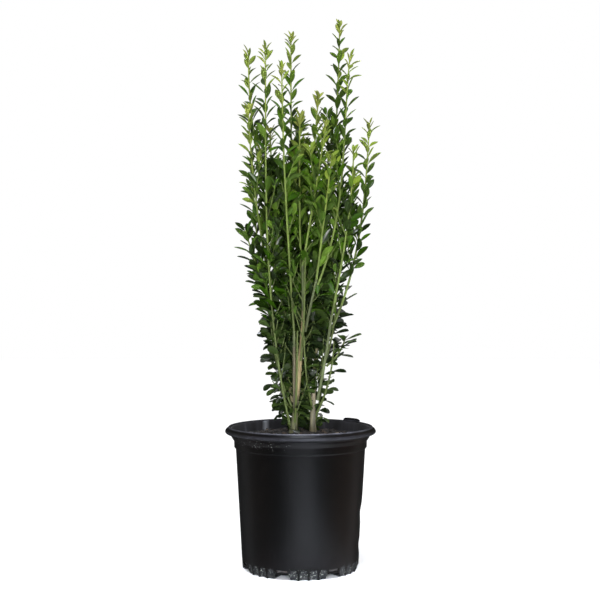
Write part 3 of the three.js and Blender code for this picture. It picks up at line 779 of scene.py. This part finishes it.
def add_tube(pile, line, radius_at, sides, rings, kind_at, relief=None, flat_foot=False):
    """A closed tube along a line; relief moves each point in or out by its place along and round it."""
    points, kinds = [], []
    for ring in range(rings + 1):
        t = ring / rings
        centre = point_on(line, t)
        tangent = np.array((0, 0, 1.0)) if flat_foot and ring == 0 else tangent_on(line, t)
        for k in range(sides):
            turn = 2 * math.pi * k / sides
            reach = radius_at(t) + (relief(t, turn) if relief else 0.0)
            points.append(centre + sideways(tangent, turn) * reach)
        if ring < rings:
            kinds += [kind_at(t)] * sides
    faces = ring_faces(rings, sides)
    faces.append(tuple(reversed(range(sides))))
    faces.append(tuple(rings * sides + k for k in range(sides)))
    pile.add(np.array(points), faces, kinds + [kind_at(0), kind_at(1)])


def foot_on(limb, at, tip, radius):
    """Where a limb or stem starts on the limb that carries it."""
    place = point_on(limb.line, at)
    if at == 1:
        return place + tangent_on(limb.line, 1) * (GAP + 0.15 * radius)
    side = np.append(unit(np.array(tip[:2]) - place[:2]), 0)
    return place + side * (limb.radius_at(at) + radius + GAP)


def plan_limbs():
    limbs = {}
    for name, (foot, tip, lean, radii, flare) in TRUNKS.items():
        line = centre_line((*foot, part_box(name)[0].z / MM), tip, lean)
        rise = FLARE_HEIGHT / length_of(line)
        radius_at = lambda t, radii=radii, f=flare, h=rise: mix(*radii, t) + f * math.exp(-t / h)
        limbs[name] = Row(line=line, radius_at=radius_at, length=length_of(line))
    for name, (on, at, tip, lean, radii, *_) in BOUGHS.items():
        line = centre_line(foot_on(limbs[on], at, tip, radii[0]), tip, lean)
        radius_at = lambda t, radii=radii: mix(*radii, t)
        limbs[name] = Row(line=line, radius_at=radius_at, length=length_of(line))
    return limbs


def bark_relief(seed, depth, length):
    """Ridges along the limb, with a raised ring at each old leaf scar."""

    def relief(t, turn):
        along = t * length
        ridges = math.sin(5 * turn + 0.05 * along + seed) * math.sin(3 * turn - 0.11 * along + 2 * seed)
        grain = math.sin(11 * turn + 0.9 * along + seed) * 0.35
        scar_phase = along / 13 + seed
        scar_turn = turn - 2.4 * math.floor(scar_phase)
        scar = max(0.0, math.cos(scar_turn)) ** 3 * math.exp(-(((scar_phase % 1) - 0.5) / 0.13) ** 2)
        return depth * (0.6 * ridges + grain + 1.6 * scar)

    return relief


def make_limbs(limbs):
    trunks, boughs = Pile(), Pile()
    for number, (name, limb) in enumerate(limbs.items()):
        is_trunk = name in TRUNKS
        pile, depth, sides, step = (trunks, 0.32, 28, 1.6) if is_trunk else (boughs, 0.16, 16, 2)
        bark, green_from = (number, math.inf) if is_trunk else BOUGHS[name][-2:]
        kind_at = lambda t, bark=bark, start=green_from: 1 if t >= start else bark
        relief = bark_relief(number + 1, depth, limb.length)
        rings = round(limb.length / step)
        add_tube(pile, limb.line, limb.radius_at, sides, rings, kind_at, relief, is_trunk)
    trunk_barks = [bark_material(name, *colours) for name, colours in TRUNK_BARKS.items()]
    bough_barks = [bark_material(name, *colours) for name, colours in BOUGH_BARKS.items()]
    make_piece("trunks", trunks, trunk_barks, TRUNKS)
    make_piece("boughs", boughs, bough_barks, BOUGHS)


def sprig_plan():
    rows = {}
    for i in range(SPRIGS.count):
        name = list(TRUNKS)[i % len(TRUNKS)]
        (x, y), top, *_ = TRUNKS[name]
        at = SPRIGS.lowest + i * SPRIGS.rise
        height = mix(SOIL_TOP, top[2], at) + SPRIGS.height * mix(0.8, 1.2, chance(i, 0, 9))
        east, north, _ = polar(SPRIGS.reach, math.radians(SPRIGS.start + i * GOLDEN_ANGLE), 0)
        rows[f"sprig_{i + 1}"] = (name, at, (x + east, y + north, height), (0.7, 0.95))
    return rows


def plan_stems(limbs):
    stems = []
    for number, (name, (on, at, tip, lean)) in enumerate({**SHOOTS, **sprig_plan()}.items()):
        thickest = min(STEM.foot, limbs[on].radius_at(at))
        line = centre_line(foot_on(limbs[on], at, tip, thickest), tip, lean)
        stems.append(Row(
            name=name,
            owner=name,
            seed=number + 1,
            line=line,
            radius_at=lambda t, foot=thickest: mix(foot, STEM.tip, t),
            length=length_of(line),
            age=np.interp(tip[2], *TIP_AGE),
            bare=STEM.bare,
            side=None,
        ))
    return stems


def plan_twigs(stem, rule):
    """Side twigs leave a stem or limb by a rule, and bend up to rise close along it."""
    twigs = []
    count = int(stem.length / rule.every)
    for i in range(count):
        draw = lambda k, i=i: chance(stem.seed, i, k)
        along = mix(rule.start, rule.end, (i + 0.8 * draw(4)) / count)
        foot = point_on(stem.line, along)
        tangent = tangent_on(stem.line, along)
        inward = math.degrees(math.atan2(-foot[1], -foot[0]))
        middle, half = stem.side or (inward, TWIG_ARC)
        out = sideways(tangent, math.radians(middle + half * (2 * draw(5) - 1)))
        length = mix(rule.shortest, rule.longest, draw(6))
        angle = math.radians(rule.angle * mix(0.8, 1.3, draw(8)))
        way = tangent * math.cos(angle) + out * math.sin(angle)
        bend = foot + way * length * TWIG_BEND
        end = bend + unit(way + TWIG_UP * tangent) * length * (1 - TWIG_BEND)
        if math.hypot(end[0] - np.interp(end[2], *CROWN_SHIFT), end[1]) > np.interp(end[2], *CROWN):
            continue
        twigs.append(Row(
            name=f"{stem.name}_{i}",
            owner=stem.owner,
            seed=stem.seed * 31 + i,
            line=np.array((foot, foot + way * length / 3, bend, end)),
            radius_at=lambda t, foot=rule.radius: mix(foot, TWIG_TAPER * foot, t),
            length=length,
            age=stem.age + 0.4 * stem.length * (1 - along),
            bare=TWIG_BARE,
        ))
    return twigs


def plan_side_twigs(limbs):
    """The small twigs that stand on the trunks and boughs themselves."""
    twigs = []
    for number, (name, limb) in enumerate(limbs.items()):
        carrier = {**vars(limb), "owner": name, "age": LIMB_AGE}
        side = LIMB_SIDES.get(name, (0, 180))
        twigs += plan_twigs(Row(**carrier, name=name, seed=401 + number, side=side), SIDE_TWIG)
        if name in BASAL_SIDES:
            base = Row(**carrier, name=f"{name}_base", seed=501 + number, side=BASAL_SIDES[name])
            twigs += plan_twigs(base, BASAL_TWIG)
    return twigs


class Room:
    """The limbs and stems as short straight runs, so that a new twig or leaf can keep clear of them."""

    def __init__(self, limbs, stems):
        wood = [(name, limb, 16) for name, limb in limbs.items()]
        wood += [(stem.owner, stem, 20) for stem in stems]
        starts, runs, radii, owners = [], [], [], []
        for owner, limb, steps in wood:
            marks = marks_on(limb.line, 0, 1, steps + 1)
            starts.extend(marks[:-1])
            runs.extend(np.diff(marks, axis=0))
            radii.extend(limb.radius_at(t) for t in np.linspace(0, 1, steps + 1)[:-1])
            owners.extend([owner] * steps)
        self.starts, self.runs = np.array(starts), np.array(runs)
        self.radii, self.owners = np.array(radii), np.array(owners)
        self.squares = (self.runs**2).sum(1)

    def is_free(self, owner, points, margin):
        gap = points[:, None] - self.starts[None]
        share = np.clip((gap * self.runs).sum(2) / self.squares, 0, 1)
        distance = np.linalg.norm(gap - share[..., None] * self.runs, axis=2)
        return not ((distance < self.radii + margin) & (self.owners != owner)).any()


class OpenWood:
    """The limbs and shoots that are to show from the front or the back, as marks along them."""

    def __init__(self, limbs, stems):
        marks, reach = [], []
        for name, (width, lowest, highest) in OPEN_LIMBS.items():
            line = marks_on(limbs[name].line, 0, 1, 60)
            marks += [mark for mark in line if lowest < mark[2] < highest]
            reach += [width] * (len(marks) - len(reach))
        for stem in stems:
            if stem.name in SHOOTS:
                end = max(0.1, 1 - OPEN.tip / stem.length)
                marks += list(marks_on(stem.line, 0, end, 90))
        self.limb_marks = len(reach)
        self.reach = np.array(reach + [OPEN.reach] * (len(marks) - len(reach)))
        self.marks = np.array(marks)
        self.way = np.where(self.marks[:, 1] < 0, -1.0, 1.0)
        self.way[: self.limb_marks] = -1.0

    def is_hidden_by(self, points):
        """Whether the points stand before a limb, and whether they stand outwards of a shoot."""
        gap = points[:, None] - self.marks[None]
        is_near = (np.abs(gap[..., 0]) < self.reach) & (np.abs(gap[..., 2]) < OPEN.reach)
        is_before = is_near & (gap[..., 1] * self.way > 1)
        return bool(is_before[:, : self.limb_marks].any()), bool(is_before[:, self.limb_marks :].any())


# Leaves


def leaf_places(stem):
    tuft = stem.length - TUFT.leaves * TUFT.spacing
    places, distance = [], stem.bare
    while distance < tuft:
        places.append(distance)
        distance += np.interp(point_on(stem.line, distance / stem.length)[2], *SPACING)
    return places + [tuft + i * TUFT.spacing for i in range(TUFT.leaves)]


def towards_soil(height, top):
    """0 from a height up, rising to 1 at the soil."""
    return np.clip((top - height) / (top - SOIL_TOP), 0, 1)


def leaf_on(stem, distance, index):
    """A leaf's root, directions and size: steep round a tip, wide lower down, drooping near the soil."""
    draw = lambda k: chance(stem.seed, index, k)
    along = distance / stem.length
    axis = point_on(stem.line, along)
    height = axis[2]
    tangent = tangent_on(stem.line, along)
    from_tip = stem.length - distance
    young = min(1.0, (from_tip + 0.3 * stem.age) / YOUNG)
    spread = np.interp(from_tip + 0.4 * stem.age, *SPREAD)
    spread += DROOP * towards_soil(height, DROOP_TOP)
    spread = math.radians(spread + LEAF_SWAY * min(1, from_tip / 20) * (draw(1) - 0.5))
    azimuth = math.radians(index * GOLDEN_ANGLE + stem.seed * 77 + 40 * (draw(2) - 0.5))
    out = sideways(tangent, azimuth)
    way = tangent * math.cos(spread) + out * math.sin(spread)
    face = tangent * math.sin(spread) - out * math.cos(spread)
    roll = math.radians(np.interp(height, *ROLL) * (draw(7) - 0.5))
    face = face * math.cos(roll) + np.cross(way, face) * math.sin(roll)
    length = LEAF.length * mix(0.6, 1.0, young) * np.interp(height, *LEAF_SIZE)
    length *= mix(0.8, 1.14, draw(3))
    blunt = clamp((BLUNT_FROM - height) / (BLUNT_FROM - BLUNT_TO))
    return Row(
        root=axis + out * 0.5 * stem.radius_at(along),
        way=way,
        face=face,
        length=length,
        width=length * mix(LEAF.narrow, LEAF.broad, blunt) * mix(0.9, 1.1, draw(4)),
        blunt=blunt,
        from_tip=from_tip + stem.age,
        low=towards_soil(height, LOW_TOP),
        curl=np.interp(height, *CURL) * mix(-0.2, 1.6, draw(5)),
        shade=int(draw(6) < 0.5),
    )


def leaf_kind(leaf, stem, index):
    """The leaf's colour, from 0 at a tip to the last on old wood, shifted a little for each spray."""
    tone = np.interp(leaf.from_tip, *TONE) + LOW_TONE * leaf.low
    spray = SHOOT_CHANCE if stem.name in SHOOTS else TWIG_CHANCE
    shift = LEAF_CHANCE * (chance(stem.seed, index, 10) - 0.5)
    shift += spray * (chance(stem.seed, 0, 11) - 0.5)
    tone += shift * (1 - LOW_STEADY * leaf.low)
    return int(min(len(LEAF_TOPS) - 1, max(0, round(tone))))


def leaf_faces():
    """Faces of one leaf, four points a station (left, above, right, below) and one at the tip."""
    last = len(LEAF_STATIONS) - 1
    tip = 4 * (last + 1)
    tops, unders = [], [(3, 2, 1, 0)]
    for i in range(last):
        a, b = 4 * i, 4 * i + 4
        tops += [(a, a + 1, b + 1, b), (a + 1, a + 2, b + 2, b + 1)]
        unders += [(a, b, b + 3, a + 3), (a + 3, b + 3, b + 2, a + 2)]
    a = 4 * last
    tops += [(a, a + 1, tip), (a + 1, a + 2, tip)]
    unders += [(a, tip, a + 3), (a + 3, tip, a + 2)]
    return tops, unders


def leaf_points(leaf):
    way, face, length = leaf.way, leaf.face, leaf.length
    across = np.cross(face, way)
    points = []
    for along, pointed, blunt in zip(LEAF_STATIONS, LEAF_POINTED, LEAF_BLUNT):
        half = mix(pointed, blunt, leaf.blunt) * leaf.width / 2
        rise = -leaf.curl * along**2 * length
        spine = leaf.root + way * along * length + face * rise
        edge = face * LEAF.fold * half
        below = spine - face * LEAF.thick * mix(1.6, 1.0, along)
        points += [spine + across * half + edge, spine, spine - across * half + edge, below]
    tip = leaf.root + way * length - face * leaf.curl * length
    return np.array(points + [tip])


def stem_kind(stem):
    """Lime near the tip, then green; shoots darker by depth under a height, as painted shade towards the
    soil; side twigs and sprigs darker by age.
    """

    def kind_at(t):
        age = stem.length * (1 - t) + stem.age
        if stem.name not in SHOOTS:
            return int(np.digitize(age, TWIG_AGES))
        # Painted shade: a shoot's colour darkens by its depth under a height
        depth = SHOOT_GREEN_FROM - point_on(stem.line, t)[2]
        return 0 if age < SHOOT_LIME and depth < 0 else 1 + int(np.digitize(depth, SHOOT_SHADE_DEPTHS))

    return kind_at


def leaf_materials(kind):
    """The two shades of a kind of leaf, above and then below."""
    name = f"leaf_{LEAF_NAMES[kind]}"
    looks = zip(LEAF_TOPS[kind], LEAF_ROUGHNESS[kind], LEAF_GLOSS[kind])
    tops = [plain_material(f"{name}_{shade}", *look) for shade, look in enumerate(looks)]
    unders = enumerate(LEAF_UNDERS[kind])
    return tops + [plain_material(f"{name}_under_{shade}", colour, 0.6, 0.04) for shade, colour in unders]


def make_foliage(limbs):
    stems = plan_stems(limbs)
    room = Room(limbs, stems)
    open_wood = OpenWood(limbs, stems)
    carriers = list(stems)
    for twig in [twig for stem in stems for twig in plan_twigs(stem, TWIG)] + plan_side_twigs(limbs):
        marks = marks_on(twig.line, 0.1, 1, 8)
        if room.is_free(twig.owner, marks, 1.2) and not open_wood.is_hidden_by(marks[4:])[0]:
            carriers.append(twig)
    wood = Pile()
    kinds = [Pile() for _ in LEAF_TOPS]
    tops, unders = leaf_faces()
    for carrier in carriers:
        sides = 8 if carrier.name == carrier.owner else 6
        rings = max(4, round(carrier.length / 9))
        add_tube(wood, carrier.line, carrier.radius_at, sides, rings, stem_kind(carrier))
        for index, distance in enumerate(leaf_places(carrier)):
            leaf = leaf_on(carrier, distance, index)
            points = leaf_points(leaf)
            hides_limb, hides_shoot = open_wood.is_hidden_by(points[1::4])
            if hides_limb or (hides_shoot and chance(carrier.seed, index, 12) > OPEN.stays):
                continue
            if not room.is_free(carrier.owner, points[9::4], 0.4):
                continue
            shades = [leaf.shade] * len(tops) + [2 + leaf.shade] * len(unders)
            kinds[leaf_kind(leaf, carrier, index)].add(points, tops + unders, shades)
    nodes = [stem.name for stem in stems]
    for kind, pile in enumerate(kinds):
        make_piece(f"leaves_{LEAF_NAMES[kind]}", pile, leaf_materials(kind), nodes)
    greens = [plain_material(f"stem_{k + 1}", colour, 0.55, 0.15) for k, colour in enumerate(STEM_COLOURS)]
    make_piece("stems", wood, greens, nodes)


# Floor, light and camera


def make_stage():
    scene = bpy.context.scene
    scene.view_settings.view_transform = "Standard"
    mesh = bpy.data.meshes.new("floor")
    corners = [(x * FLOOR_HALF, y * FLOOR_HALF, 0) for x, y in ((-1, -1), (1, -1), (1, 1), (-1, 1))]
    mesh.from_pydata(corners, [], [(0, 1, 2, 3)])
    mesh.materials.append(plain_material("floor_white", (254, 254, 254), 0.9, 0.05))
    floor = place_object("floor", mesh)
    floor.location.z = -FLOOR_DROP
    world = bpy.data.worlds.new("studio")
    world.use_nodes = True
    sky = world.node_tree.nodes["Background"]
    sky.inputs["Color"].default_value = (1, 1, 1, 1)
    sky.inputs["Strength"].default_value = 1.0
    scene.world = world


def add_light(name, place, target, size, power, spread=180, colour=(1, 1, 1)):
    lamp = bpy.data.lights.new(name, "AREA")
    lamp.shape = "RECTANGLE"
    lamp.size, lamp.size_y = size
    lamp.energy = power
    lamp.color = colour
    lamp.spread = math.radians(spread)
    light = place_object(name, lamp)
    light.location = place
    light.rotation_euler = (Vector(target) - Vector(place)).to_track_quat("-Z", "Y").to_euler()


def make_lights():
    """A soft key and a small bright box from the upper left, a fill on the crown, low ones on the pot."""
    cool = (0.84, 0.89, 1.0)
    add_light("key", (-0.9, -1.6, 1.9), (0, 0, 0.4), (1.5, 1.5), 13)
    add_light("fill", (0.3, -2.0, 1.1), (0, 0, 0.7), (1.2, 1.0), 4.9, 40)
    add_light("sparkle", (-0.5, -1.0, 2.2), (0, 0, 0.45), (0.3, 0.3), 18, 180, cool)
    for number, (x, power) in enumerate(((-0.43, 2.2), (0.4, 2.9), (1.2, 0.35))):
        add_light(f"front_{number + 1}", (x, -1.87, 0.15), (0, 0, 0.01), (0.8, 0.27), power, 30, cool)
    add_light("apron", (0.06, -0.36, 0.6), (0.06, -0.33, 0), (0.24, 0.45), 7.0, 30, cool)


def make_camera():
    data = bpy.data.cameras.new("camera")
    data.lens = LENS
    camera = place_object("camera", data)
    camera.location = [v * MM for v in CAMERA_AT]
    camera.rotation_euler = (math.pi / 2, 0, 0)
    bpy.context.scene.camera = camera


make_camera()
make_stage()
make_lights()
make_pot()
make_soil()
make_chips()
all_limbs = plan_limbs()
make_limbs(all_limbs)
make_foliage(all_limbs)
